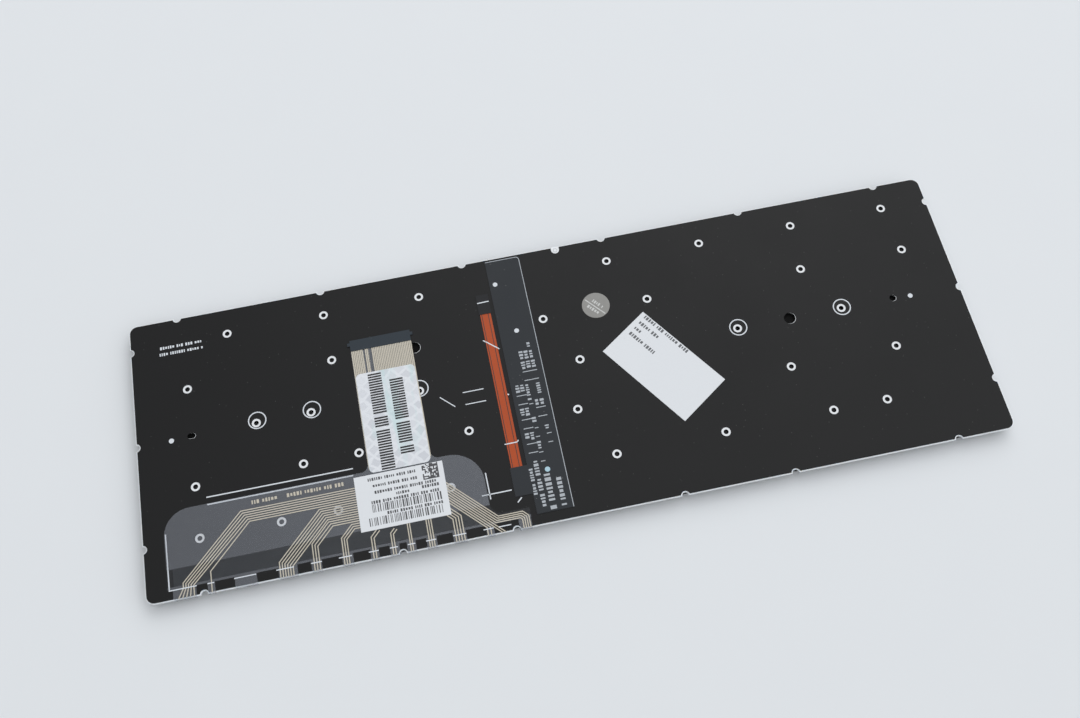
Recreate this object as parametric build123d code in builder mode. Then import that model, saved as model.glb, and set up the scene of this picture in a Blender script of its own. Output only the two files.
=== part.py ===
"""Laptop replacement keyboard, lying on its key tops with its back face up.

X runs across the keyboard, Y from the space bar edge to the function row, Z up.
Seen from the back the layout is mirrored, so the Tab side of the keyboard is at +X.
z = 0 is the plane of the key tops that the keyboard lies on.
"""

import os

from build123d import *

os.makedirs("parts", exist_ok=True)

# Key layout
key_pitch = 19.05
row_pitch = 18.1
key_gap = 3.2
tilde_pitch = 15.5
backspace_pitch = 32.0
column_pitch = 19.1
function_row_depth = 9.8
bottom_row_depth = 19.4
edge_margin = 1.5
arrow_gap = 1.2
function_keys = 17
space_units = 5

# Keycaps, their domes and their stroke
key_height = 2.0
key_roof = 0.7
key_wall = 0.9
key_draft = 8.0
key_travel = 1.3
travel_clearance = 0.3
dome_base = 2.2
dome_draft = 14.0
dome_sides = 5
dome_clearance = 0.05

# Sheets of the stack, from the keys to the back
membrane_thick = 0.25
plate_thick = 0.3
guide_thick = 0.6
reflector_thick = 0.1
film_thick = 0.1
adhesive_thick = 0.1
circuit_thick = 0.1
flex_thick = 0.1
coverlay_thick = 0.1
label_thick = 0.1
stiffener_thick = 0.15
led_height = 0.5

# Outline, notches and holes
plate_corner = 3.0
film_inset = 0.35
reflector_inset = 1.9
plate_inset = 1.4
notch_radius = 1.2
tab_notch_width = 3.0
tab_notch_depth = 2.8
small_sides = 10
tiny_sides = 7
ring_radius = 1.6
stake_radius = 0.88
screw_radius = 0.8
collar_wall = 0.35
post_radius = 2.1
pin_radius = 1.2
pin_slot_length = 2.8
pin_slot_width = 1.9
hole_window = 0.6
hole_drop = 0.5
side_notch_drop = 0.7
tail_post_shift = 0.8
tail_post_drop = 1.4

# Backlight strip and its tail
strip_x = -11.3
strip_width = 12.6
strip_rear_inset = 1.15
strip_front_inset = 3.85
led_slot_width = 4.0
led_slot_margin = 6.0
led_count = 7
led_length = 3.0
led_width = 1.4
lobe_width = 5.9
lobe_start = 11.1
lobe_length = 10.2
light_tail_width = 3.8
light_tail_length = 66.4
light_tail_offset = 0.55
light_end_length = 7.8
light_end_width = 4.5

# Membrane flap folded onto the back, and its tail
fold_clearance = 0.15
bend_inner = 0.25
fold_overlap = 1.0
flap_left_inset = 7.4
flap_right_gap = 14.9
flap_front_inset = 3.5
flap_height = 26.7
flap_corner = 8.8
flap_tail_corner = 11.0
branch_fillet = 4.0
tail_fillet = 2.5
branch_reach = 12.8
branch_width = 3.2
tail_width = 21.6
tail_length = 49.3
tail_from_right = 27.1
tail_end_length = 4.2
tail_ear = 0.9
tail_ear_length = 1.2
adhesive_front = 4.3
adhesive_width = 6.0
adhesive_side_gap = 2.0

# Labels on the back
foil_width = 20.9
foil_length = 36.8
foil_corner = 0.9
foil_drop = 0.9
part_label_width = 30.3
part_label_length = 19.2
part_label_drop = 1.4
part_label_shift = -1.0
price_label_length = 38.1
price_label_width = 21.2
price_label_x = 36.3
price_label_y = -3.6
price_label_turn = -55.3
sticker_radius = 5.0
sticker_sides = 24
sticker_x = 18.3
sticker_y = 24.2

# Levels of the stack
membrane_z = key_height + key_travel + travel_clearance
plate_z = membrane_z + membrane_thick
guide_z = plate_z + plate_thick
reflector_z = guide_z + guide_thick
film_z = reflector_z + reflector_thick
back_z = film_z + film_thick
coverlay_z = back_z + flex_thick
flap_z = back_z + adhesive_thick
flap_top_z = flap_z + circuit_thick

# Key field: x of the gaps between keys, from the Tab side, and y of the webs between rows
key_field = tilde_pitch + 12 * key_pitch + backspace_pitch + column_pitch
plate_length = key_field - key_gap + 2 * edge_margin
plate_width = function_row_depth + 4 * row_pitch + bottom_row_depth
field_end = key_field / 2
rear_y = plate_width / 2
front_y = -plate_width / 2
webs = [rear_y - function_row_depth - row * row_pitch for row in range(5)]
rear_field = rear_y - edge_margin + key_gap / 2
front_field = front_y + edge_margin - key_gap / 2

function_pitch = key_field / function_keys
function_first = field_end - function_pitch
number_first = field_end - tilde_pitch
upper_first = number_first - key_pitch / 2
home_first = upper_first - key_pitch / 4
lower_first = home_first - key_pitch / 2
column_x = column_pitch - field_end


def run(first, count):
    """The gap positions of a run of equal keys."""
    return [first - key_pitch * step for step in range(count + 1)]


def caps(gaps, front, rear):
    """The place and size of the keycaps between the gaps of one row."""
    row = []
    for left, right in zip(gaps, gaps[1:]):
        row.append(((left + right) / 2, (front + rear) / 2, left - right - key_gap, rear - front - key_gap))
    return row


function_gaps = [function_first - function_pitch * step for step in range(function_keys - 1)]
function_row = caps([field_end, *function_gaps, -field_end], webs[0], rear_field)
number_row = caps([field_end, *run(number_first, 12), column_x], webs[1], webs[0])
upper_row = caps([field_end, *run(upper_first, 12), column_x], webs[2], webs[1])
home_row = caps([field_end, *run(home_first, 11), column_x], webs[3], webs[2])
lower_row = caps([field_end, *run(lower_first, 10), column_x], webs[4], webs[3])

space_rear = upper_first - 3 * key_pitch
space_end = space_rear - space_units * key_pitch
arrow_start = column_x + 2 * key_pitch
left_modifiers = caps([field_end, *run(upper_first, 3)], front_field, webs[4])
space_bar = caps([space_rear, space_end], front_field, webs[4])[0]
right_modifiers = caps([*run(space_end, 2), arrow_start], front_field, webs[4])
arrow_keys = caps([arrow_start, arrow_start - key_pitch], front_field, webs[4])
arrow_keys += caps([column_x, -field_end], front_field, webs[4])
middle_y = (front_field + webs[4]) / 2
half_shift = (key_gap - arrow_gap) / 2
arrow_keys += caps([column_x + key_pitch, column_x], front_field, middle_y + half_shift)
arrow_keys += caps([column_x + key_pitch, column_x], middle_y - half_shift, webs[4])

side_column = []
for front, rear in zip(webs[1:], webs):
    side_column += caps([column_x, -field_end], front, rear)

upper_names = ["tab", *"qwertyuiop", "left_bracket", "right_bracket", "backslash"]
home_names = ["caps_lock", *"asdfghjkl", "semicolon", "apostrophe", "enter"]
lower_names = ["left_shift", *"zxcvbnm", "comma", "period", "slash", "right_shift"]
moving_names = [*upper_names, *home_names, *lower_names, "space"]
moving_caps = [*upper_row, *home_row, *lower_row, space_bar]

# Holes on the webs, in line with the key gaps of the row behind them
stakes = [(function_gaps[step], webs[0]) for step in (0, 2, 4, 6, 10, 12, 14)]
stakes += [(number_first - key_pitch * step, webs[1]) for step in (0, 2, 5, 7, 11)]
stakes += [(upper_first - key_pitch * 6, webs[2])]
stakes += [(home_first - key_pitch * step, webs[3]) for step in (0, 2, 6, 8, 10, 11)]
stakes += [(lower_first - key_pitch * step, webs[4] - hole_drop) for step in (0, 1, 3, 5, 8, 10, 11)]
stakes += [(column_x, webs[row] - hole_drop) for row in (1, 3, 4)]
screws = [(upper_first - key_pitch * step, webs[2]) for step in (1, 3, 9, 11, 12)]
posts = [(upper_first - key_pitch * 2, webs[2])]
posts += [(upper_first - key_pitch * 9 + tail_post_shift, webs[1] - tail_post_drop)]
pin_hole = (upper_first, webs[2])
pin_slot = (column_x, webs[2])

# Notches around the edge
side_x = plate_length / 2
notches = [(function_gaps[step], rear_y) for step in (0, 3, 6, 9, 12, 15)]
notches += [(side, webs[row] - side_notch_drop) for side in (-side_x, side_x) for row in (0, 2, 4)]
notches += [(home_first + key_pitch * (0.5 - step), front_y) for step in (0, 3, 5, 8, 10)]
notches += [(column_x, front_y)]
tab_notch_x = function_gaps[7]

# Strip, flap and tail, placed from the plate's edges
strip_left = strip_x - strip_width / 2
strip_front = front_y + strip_front_inset
strip_rear = rear_y - strip_rear_inset
strip_y = (strip_front + strip_rear) / 2
strip_length = strip_rear - strip_front
slot_length = strip_length - 2 * led_slot_margin
lobe_x = strip_left - lobe_width / 2
lobe_y = front_y + lobe_start + lobe_length / 2
lobe_rear = lobe_y + lobe_length / 2
light_tail_x = lobe_x - light_tail_offset
light_tail_end = lobe_rear + light_tail_length

flap_left = -side_x + flap_left_inset
flap_right = strip_left - flap_right_gap
flap_front = front_y + flap_front_inset
flap_rear = flap_front + flap_height
tail_x = flap_right - tail_from_right
tail_end = flap_rear + tail_length
fold_inner = front_y - fold_clearance
fold_outer = fold_inner - circuit_thick
bend_outer = bend_inner + (2 - 2**0.5) * circuit_thick
sheet_z = membrane_z + circuit_thick
fold_root = front_y + plate_inset + fold_overlap

# Fold tabs as distance from the flap's side and width, in the order of the circuit's bundles
left_tabs = [(5.4, 7.6), (14.1, 2.4), (25.4, 7.2), (39.2, 6.2), (48.6, 3.4), (58.9, 3.6)]
right_tabs = [(39.8, 2.8), (33.1, 3.2), (27.6, 3.0), (20.8, 3.4), (11.5, 4.4), (1.3, 2.6), (-10.5, 4.2)]
tabs = [(flap_left + reach, width) for reach, width in left_tabs]
tabs += [(flap_right - reach, width) for reach, width in right_tabs]


def small_round(radius, sides=small_sides):
    """A small round opening, drawn with few sides because there are many of them."""
    RegularPolygon(radius, sides, rotation=180 / sides, mode=Mode.SUBTRACT)


def notched_outline(inset):
    """The keyboard's outline with its edge notches, drawn in from the edge by the inset."""
    RectangleRounded(plate_length - 2 * inset, plate_width - 2 * inset, plate_corner - inset)
    with Locations(*notches):
        small_round(notch_radius + inset)


def plain_outline(inset):
    """A plain rectangle, drawn in from the keyboard's edge by the inset."""
    Rectangle(plate_length - 2 * inset, plate_width - 2 * inset)


def locating_cuts():
    """Post holes, the pin hole and the pin slot, drawn in the active sketch."""
    with Locations(*posts):
        small_round(post_radius)
    with Locations(pin_hole):
        small_round(pin_radius)
    with Locations(pin_slot):
        with GridLocations(pin_slot_length - pin_slot_width, 0, 2, 1):
            small_round(pin_slot_width / 2)


def hole_windows(places, radius):
    """Square clearance windows around holes, drawn in the active sketch."""
    with Locations(*places):
        Rectangle(2 * (radius + hole_window), 2 * (radius + hole_window), mode=Mode.SUBTRACT)


def led_slot():
    """The slot that the row of LEDs reaches through."""
    with Locations((strip_x, strip_y)):
        Rectangle(led_slot_width, slot_length, mode=Mode.SUBTRACT)


def keycap(x, y, width, depth):
    """A drafted cap, open underneath, with its touch face on z = 0."""
    with BuildPart() as cap:
        with BuildSketch(Plane.XY.offset(key_height)):
            with Locations((x, y)):
                Rectangle(width, depth)
        extrude(amount=-key_height)
        draft(cap.faces().filter_by(Axis.Z, reverse=True), Plane.XY.offset(key_height), -key_draft)
        with BuildSketch(Plane.XY.offset(key_height)):
            with Locations((x, y)):
                Rectangle(width - 2 * key_wall, depth - 2 * key_wall)
        extrude(amount=key_roof - key_height, mode=Mode.SUBTRACT)
    return cap.part


def dome(x, y, tip_z):
    """A rubber dome, from the membrane to the underside of a keycap."""
    with BuildPart() as cone:
        with BuildSketch(Plane.XY.offset(membrane_z)):
            with Locations((x, y)):
                RegularPolygon(dome_base, dome_sides)
        extrude(amount=tip_z - membrane_z)
        draft(cone.faces().filter_by(Axis.Z, reverse=True), Plane.XY.offset(membrane_z), -dome_draft)
    return cone.part


# Keys of the three letter rows and the space bar, each free to travel
for name, place in zip(moving_names, moving_caps):
    key = keycap(*place)
    key.label = f"key_{name}"
    export_step(key, f"parts/key_{name}.step")

# Domes under the keys that travel
dome_pieces = [dome(x, y, key_roof + dome_clearance) for x, y, width, depth in moving_caps]
with BuildPart() as rubber_domes:
    add(dome_pieces)
rubber_domes.part.label = "rubber_domes"
export_step(rubber_domes.part, "parts/rubber_domes.step")

# Remaining keys, each in one piece with its dome
fixed_groups = {
    "function_and_number_keys": [*function_row, *number_row],
    "side_column_keys": side_column,
    "left_modifier_keys": left_modifiers,
    "right_modifier_keys": [*right_modifiers, *arrow_keys],
}
for name, places in fixed_groups.items():
    cap_pieces = [keycap(*place) for place in places]
    dome_pieces = [dome(x, y, key_roof) for x, y, width, depth in places]
    with BuildPart() as group:
        add(cap_pieces)
        add(dome_pieces)
    group.part.label = name
    export_step(group.part, f"parts/{name}.step")

# Membrane: the switch sheet under the plate, folded round the front edge onto the back
with BuildPart() as membrane:
    with BuildSketch(Plane.XY.offset(membrane_z)):
        plain_outline(plate_inset)
        hole_windows(screws, screw_radius)
        hole_windows([*posts, pin_hole, pin_slot], post_radius)
    extrude(amount=membrane_thick)
    for tab_x, tab_width in tabs:
        with BuildSketch(Plane.YZ.offset(tab_x)):
            with BuildLine():
                Polyline(
                    (flap_front + fold_overlap, flap_z),
                    (fold_inner + bend_inner, flap_z),
                    (fold_inner, flap_z - bend_inner),
                    (fold_inner, sheet_z + bend_inner),
                    (fold_inner + bend_inner, sheet_z),
                    (fold_root, sheet_z),
                    (fold_root, membrane_z),
                    (fold_outer + bend_outer, membrane_z),
                    (fold_outer, membrane_z + bend_outer),
                    (fold_outer, flap_top_z - bend_outer),
                    (fold_outer + bend_outer, flap_top_z),
                    (flap_front + fold_overlap, flap_top_z),
                    close=True,
                )
            make_face()
        extrude(amount=tab_width / 2, both=True)
    with BuildSketch(Plane.XY.offset(flap_z)) as flap:
        with Locations(((flap_left + flap_right) / 2, (flap_front + flap_rear) / 2)):
            Rectangle(flap_right - flap_left, flap_height)
        with Locations((tail_x, (flap_rear + tail_end) / 2)):
            Rectangle(tail_width, tail_end - flap_rear)
        with Locations((flap_right, flap_front)):
            Rectangle(branch_reach, branch_width, align=(Align.MIN, Align.MIN))
        for corner, radius in (
            ((flap_left, flap_rear), flap_corner),
            ((flap_right, flap_rear), flap_tail_corner),
            ((tail_x - tail_width / 2, flap_rear), tail_fillet),
            ((tail_x + tail_width / 2, flap_rear), tail_fillet),
            ((flap_right, flap_front + branch_width), branch_fillet),
        ):
            fillet(flap.vertices().sort_by_distance(corner)[0], radius)
    extrude(amount=circuit_thick)
membrane.part.label = "membrane"
export_step(membrane.part, "parts/membrane.step")

# Metal base plate, with a collar drawn up around each screw hole, through the light guide
with BuildPart() as base_plate:
    with BuildSketch(Plane.XY.offset(plate_z)):
        plain_outline(plate_inset)
        locating_cuts()
    extrude(amount=plate_thick)
    with BuildSketch(Plane.XY.offset(plate_z)):
        with Locations(*screws):
            RegularPolygon(screw_radius + collar_wall, small_sides)
    extrude(amount=plate_thick + guide_thick)
    with BuildSketch(Plane.XY.offset(plate_z)):
        with Locations(*screws):
            Circle(screw_radius)
    extrude(amount=plate_thick + guide_thick, mode=Mode.SUBTRACT)
base_plate.part.label = "base_plate"
export_step(base_plate.part, "parts/base_plate.step")

# Light guide
with BuildPart() as light_guide:
    with BuildSketch(Plane.XY.offset(guide_z)):
        notched_outline(0)
        hole_windows([*screws, *stakes], screw_radius)
        hole_windows([*posts, pin_hole, pin_slot], post_radius)
        led_slot()
    extrude(amount=guide_thick)
light_guide.part.label = "light_guide"
export_step(light_guide.part, "parts/light_guide.step")

# White reflector, with the lug that shows in the rear edge's tab notch
with BuildPart() as reflector_film:
    with BuildSketch(Plane.XY.offset(reflector_z)):
        plain_outline(reflector_inset)
        with Locations((tab_notch_x, rear_y - film_inset)):
            Rectangle(tab_notch_width, tab_notch_depth, align=(Align.CENTER, Align.MAX))
        with Locations(*stakes, *screws):
            small_round(stake_radius, tiny_sides)
        locating_cuts()
        led_slot()
    extrude(amount=reflector_thick)
reflector_film.part.label = "reflector_film"
export_step(reflector_film.part, "parts/reflector_film.step")

# Black back film, cut back around each hole so that the white reflector shows as a ring
with BuildPart() as back_film:
    with BuildSketch(Plane.XY.offset(film_z)):
        notched_outline(film_inset)
        with Locations((tab_notch_x, rear_y - tab_notch_depth + tab_notch_width / 2)):
            Rectangle(tab_notch_width, tab_notch_depth, align=(Align.CENTER, Align.MIN), mode=Mode.SUBTRACT)
            small_round(tab_notch_width / 2)
        with Locations(*stakes, *screws):
            small_round(ring_radius)
        locating_cuts()
        led_slot()
    extrude(amount=film_thick)
back_film.part.label = "back_film"
export_step(back_film.part, "parts/back_film.step")

# Backlight circuit: strip, side lobe and the tail that runs to its connector
with BuildPart() as backlight_flex:
    with BuildSketch(Plane.XY.offset(back_z)):
        with Locations((strip_x, strip_y)):
            Rectangle(strip_width, strip_length)
        with Locations((lobe_x, lobe_y)):
            Rectangle(lobe_width, lobe_length)
        with Locations((light_tail_x, lobe_rear)):
            Rectangle(light_tail_width, light_tail_length, align=(Align.CENTER, Align.MIN))
    extrude(amount=flex_thick)
backlight_flex.part.label = "backlight_flex"
export_step(backlight_flex.part, "parts/backlight_flex.step")

with BuildPart() as backlight_coverlay:
    with BuildSketch(Plane.XY.offset(coverlay_z)):
        with Locations((strip_x, strip_y)):
            Rectangle(strip_width, strip_length)
        with Locations((lobe_x, lobe_y)):
            Rectangle(lobe_width, lobe_length)
    extrude(amount=coverlay_thick)
backlight_coverlay.part.label = "backlight_coverlay"
export_step(backlight_coverlay.part, "parts/backlight_coverlay.step")

with BuildPart() as backlight_tail_stiffener:
    with BuildSketch(Plane.XY.offset(coverlay_z)):
        with Locations((light_tail_x, light_tail_end)):
            Rectangle(light_end_width, light_end_length, align=(Align.CENTER, Align.MAX))
    extrude(amount=stiffener_thick)
backlight_tail_stiffener.part.label = "backlight_tail_stiffener"
export_step(backlight_tail_stiffener.part, "parts/backlight_tail_stiffener.step")

with BuildPart() as backlight_leds:
    with BuildSketch(Plane.XY.offset(back_z)):
        with Locations((strip_x, strip_y)):
            with GridLocations(0, slot_length / led_count, 1, led_count):
                Rectangle(led_width, led_length)
    extrude(amount=-led_height)
backlight_leds.part.label = "backlight_leds"
export_step(backlight_leds.part, "parts/backlight_leds.step")

# Adhesive strip that holds the flap down
with BuildPart() as flap_adhesive:
    with BuildSketch(Plane.XY.offset(back_z)):
        with Locations(((flap_left + flap_right) / 2, front_y + adhesive_front)):
            Rectangle(
                flap_right - flap_left - 2 * adhesive_side_gap,
                adhesive_width,
                align=(Align.CENTER, Align.MIN),
            )
    extrude(amount=adhesive_thick)
flap_adhesive.part.label = "flap_adhesive"
export_step(flap_adhesive.part, "parts/flap_adhesive.step")

# Stiffener with side ears at the end of the membrane's tail
with BuildPart() as membrane_tail_stiffener:
    with BuildSketch(Plane.XY.offset(flap_top_z)):
        with Locations((tail_x, tail_end)):
            Rectangle(tail_width, tail_end_length, align=(Align.CENTER, Align.MAX))
        with Locations((tail_x, tail_end - tail_end_length / 2)):
            Rectangle(tail_width + 2 * tail_ear, tail_ear_length, align=(Align.CENTER, Align.MIN))
    extrude(amount=stiffener_thick)
membrane_tail_stiffener.part.label = "membrane_tail_stiffener"
export_step(membrane_tail_stiffener.part, "parts/membrane_tail_stiffener.step")

# Labels on the tail, on the flap and on the film
with BuildPart() as foil_label:
    with BuildSketch(Plane.XY.offset(flap_top_z)) as foil_outline:
        with Locations((tail_x, flap_rear - foil_drop + foil_length / 2)):
            Rectangle(foil_width, foil_length)
        chamfer(foil_outline.vertices(), foil_corner)
    extrude(amount=label_thick)
foil_label.part.label = "foil_label"
export_step(foil_label.part, "parts/foil_label.step")

with BuildPart() as part_label:
    with BuildSketch(Plane.XY.offset(flap_top_z)):
        with Locations((tail_x + part_label_shift, flap_rear - part_label_drop)):
            Rectangle(part_label_width, part_label_length, align=(Align.CENTER, Align.MAX))
    extrude(amount=label_thick)
part_label.part.label = "part_label"
export_step(part_label.part, "parts/part_label.step")

with BuildPart() as price_label:
    with BuildSketch(Plane.XY.offset(back_z)):
        with Locations(Location((price_label_x, price_label_y, 0), (0, 0, price_label_turn))):
            Rectangle(price_label_length, price_label_width)
    extrude(amount=label_thick)
price_label.part.label = "price_label"
export_step(price_label.part, "parts/price_label.step")

with BuildPart() as round_sticker:
    with BuildSketch(Plane.XY.offset(back_z)):
        with Locations((sticker_x, sticker_y)):
            RegularPolygon(sticker_radius, sticker_sides)
    extrude(amount=label_thick)
round_sticker.part.label = "round_sticker"
export_step(round_sticker.part, "parts/round_sticker.step")
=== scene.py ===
"""Laptop keyboard lying on its key tops, back face up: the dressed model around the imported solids."""

import math
import random

import bpy
from mathutils import Matrix, Vector


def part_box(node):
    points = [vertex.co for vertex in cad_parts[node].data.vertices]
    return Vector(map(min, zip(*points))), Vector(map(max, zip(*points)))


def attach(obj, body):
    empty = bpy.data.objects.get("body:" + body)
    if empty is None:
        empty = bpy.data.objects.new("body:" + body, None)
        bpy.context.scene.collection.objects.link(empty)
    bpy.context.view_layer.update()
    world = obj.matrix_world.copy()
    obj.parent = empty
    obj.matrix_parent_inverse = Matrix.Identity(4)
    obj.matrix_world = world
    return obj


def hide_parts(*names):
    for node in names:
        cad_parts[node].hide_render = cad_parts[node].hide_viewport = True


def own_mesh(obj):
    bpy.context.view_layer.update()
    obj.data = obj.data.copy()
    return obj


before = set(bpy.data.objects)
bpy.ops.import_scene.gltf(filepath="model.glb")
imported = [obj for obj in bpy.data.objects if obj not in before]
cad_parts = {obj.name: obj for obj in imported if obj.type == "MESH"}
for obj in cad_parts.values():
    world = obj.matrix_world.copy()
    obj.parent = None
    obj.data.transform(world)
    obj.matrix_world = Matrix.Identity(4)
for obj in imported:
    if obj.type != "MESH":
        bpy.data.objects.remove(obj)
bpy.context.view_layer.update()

# Keycaps: thin caps moulded in ABS, hollow behind the touch face and painted matt black.
# Small hooks inside each cap hold its scissor links. The letter rows and the space bar travel,
# and the other caps are grouped as the solids are.
mm = 0.001
key_gap = 3.2
cap_width, cap_depth, cap_height = 15.85, 14.9, 2.0
cap_lean = 0.281
cap_corner, cap_edge, cap_dish = 1.2, 0.3, 0.12
cap_wall, cap_roof = 0.9, 0.7
cap_rim, dish_slope = 0.2, 0.4
hook_half_x, hook_half_y, hook_rise, hook_edge = 0.5, 0.4, 0.45, 0.15
hook_places = [(x, y) for x in (-3.8, 3.8) for y in (-1.3, 1.3)]
webs = [41.0, 22.9, 4.8, -13.3, -31.4]
field_end, column_x, key_pitch = 147.6, -128.5, 19.05
function_pitch = 2 * field_end / 17
number_first, upper_first, home_first, lower_first = 132.1, 122.575, 117.8125, 108.2875
rear_field, front_field, arrow_start = 50.9, -50.9, -90.4


def settle(name):
    """Names the primitive just added and moves its size and place into its mesh."""
    piece = bpy.context.object
    bpy.ops.object.transform_apply(location=True, rotation=True, scale=True)
    piece.name = piece.data.name = name
    return piece


def block(name, low, high):
    """A block between two corners given in millimetres."""
    bpy.ops.mesh.primitive_cube_add(size=1, location=[(a + b) / 2 * mm for a, b in zip(low, high)])
    bpy.context.object.scale = [(b - a) * mm for a, b in zip(low, high)]
    return settle(name)


def only(piece):
    """Leaves edit mode and selects the piece alone."""
    if bpy.context.mode != "OBJECT":
        bpy.ops.object.mode_set(mode="OBJECT")
    bpy.ops.object.select_all(action="DESELECT")
    piece.select_set(True)
    bpy.context.view_layer.objects.active = piece


def pick(piece, kind, test):
    """Opens the piece in edit mode with the edges or faces that pass the test selected."""
    only(piece)
    bpy.ops.object.mode_set(mode="EDIT")
    bpy.ops.mesh.select_mode(type=kind)
    bpy.ops.mesh.select_all(action="DESELECT")
    bpy.ops.object.mode_set(mode="OBJECT")
    for item in piece.data.edges if kind == "EDGE" else piece.data.polygons:
        item.select = test(item)
    bpy.ops.object.mode_set(mode="EDIT")


def upright(piece):
    """A test for the edges that stand up from the sheet or cap."""
    points = piece.data.vertices
    return lambda edge: abs(points[edge.vertices[0]].co.z - points[edge.vertices[1]].co.z) > 0.01 * mm


def at_level(piece, level):
    """A test for the edges that lie at one height, given in millimetres."""
    points = piece.data.vertices
    return lambda edge: all(abs(points[i].co.z - level * mm) < 0.001 * mm for i in edge.vertices)


def rounded(piece, test, size, steps):
    """Bevels the edges that pass the test, by a size in millimetres."""
    pick(piece, "EDGE", test)
    bpy.ops.mesh.bevel(offset=size * mm, segments=steps, affect="EDGES")
    bpy.ops.object.mode_set(mode="OBJECT")


def smooth(piece, degrees=35):
    """Leaves edit mode and shades the piece smooth across shallow edges."""
    only(piece)
    bpy.ops.object.shade_smooth_by_angle(angle=math.radians(degrees))
    return piece


def joined(name, pieces):
    """One piece made of several."""
    bpy.ops.object.select_all(action="DESELECT")
    for piece in pieces:
        piece.select_set(True)
    bpy.context.view_layer.objects.active = pieces[0]
    if len(pieces) > 1:
        bpy.ops.object.join()
    pieces[0].name = pieces[0].data.name = name
    return pieces[0]


def stamped(master, name, x, y, wider=0.0, deeper=0.0, core=5.0):
    """A copy with its own mesh, moved to x, y and stretched outside its core, in millimetres."""
    piece = master.copy()
    piece.data = master.data.copy()
    piece.name = piece.data.name = name
    bpy.context.collection.objects.link(piece)
    for point in piece.data.vertices:
        if abs(point.co.x) > core * mm:
            point.co.x += wider / 2 * mm if point.co.x > 0 else -wider / 2 * mm
        if abs(point.co.y) > core * mm:
            point.co.y += deeper / 2 * mm if point.co.y > 0 else -deeper / 2 * mm
        point.co.x += x * mm
        point.co.y += y * mm
    return piece


def caps_between(gaps, front, rear):
    """The place and size of the caps of one row, from the gaps between them."""
    return [
        ((left + right) / 2, (front + rear) / 2, left - right - key_gap, rear - front - key_gap)
        for left, right in zip(gaps, gaps[1:])
    ]


def screen(red, green, blue):
    """A colour given in screen values, as the linear values that a shader takes."""
    shares = [c / 255 for c in (red, green, blue)]
    return (*[c / 12.92 if c < 0.0405 else ((c + 0.055) / 1.055) ** 2.4 for c in shares], 1)


def add_node(tree, kind, operation=None, **inputs):
    """A new node in a node tree, with its operation and some of its inputs set."""
    node = tree.nodes.new("ShaderNode" + kind)
    if operation:
        node.operation = operation
    for socket, value in inputs.items():
        node.inputs[socket.replace("_", " ")].default_value = value
    return node


def add_math(tree, operation, second=None):
    """A new calculation node, with its second value if that is fixed."""
    node = add_node(tree, "Math", operation)
    if second is not None:
        node.inputs[1].default_value = second
    return node


def add_mix(tree, **colours):
    """A new node that mixes two colours, A and B, of which one may be fixed."""
    node = tree.nodes.new("ShaderNodeMix")
    node.data_type = "RGBA"
    for socket, value in colours.items():
        node.inputs[socket].default_value = value
    return node


def wire(tree, *pairs):
    """Links each output to its input in a node tree."""
    for source, target in pairs:
        tree.links.new(source, target)


worn = bpy.data.node_groups.new("worn_finish", "ShaderNodeTree")
for side, kind, sockets in (
    ("INPUT", "Color", ("Tone", "Other Tone")),
    ("INPUT", "Float", ("Grain Scale", "Smudge Scale", "Smooth", "Rough", "Dust")),
    ("OUTPUT", "Color", ("Colour",)),
    ("OUTPUT", "Float", ("Roughness", "Height")),
):
    for socket in sockets:
        worn.interface.new_socket(socket, in_out=side, socket_type="NodeSocket" + kind)
inlet, outlet = worn.nodes.new("NodeGroupInput"), worn.nodes.new("NodeGroupOutput")
place = add_node(worn, "TexCoord")
grain = add_node(worn, "TexNoise", Detail=3)
smudge = add_node(worn, "TexNoise", Detail=5, Roughness=0.62)
grain_share, blend = add_math(worn, "MULTIPLY", 0.45), add_math(worn, "MULTIPLY_ADD", 0.55)
tone = add_mix(worn)
polish = add_node(worn, "MapRange", From_Min=0.3, From_Max=0.7)
specks = add_node(worn, "TexVoronoi", Scale=420)
speck_size = add_node(worn, "MapRange", From_Min=0.06, From_Max=0.03)
lint, dusty = add_math(worn, "MULTIPLY"), add_mix(worn, B=screen(168, 168, 166))
lay = add_node(worn, "Mapping", Rotation=(0.3, 0.2, 0.5), Scale=(35, 1800, 35))
rubs = add_node(worn, "TexNoise", Scale=1)
rub_width = add_node(worn, "MapRange", From_Min=0.6, From_Max=0.7)
rub_depth, scuffed = add_math(worn, "MULTIPLY"), add_math(worn, "MULTIPLY_ADD", -0.2)
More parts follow.
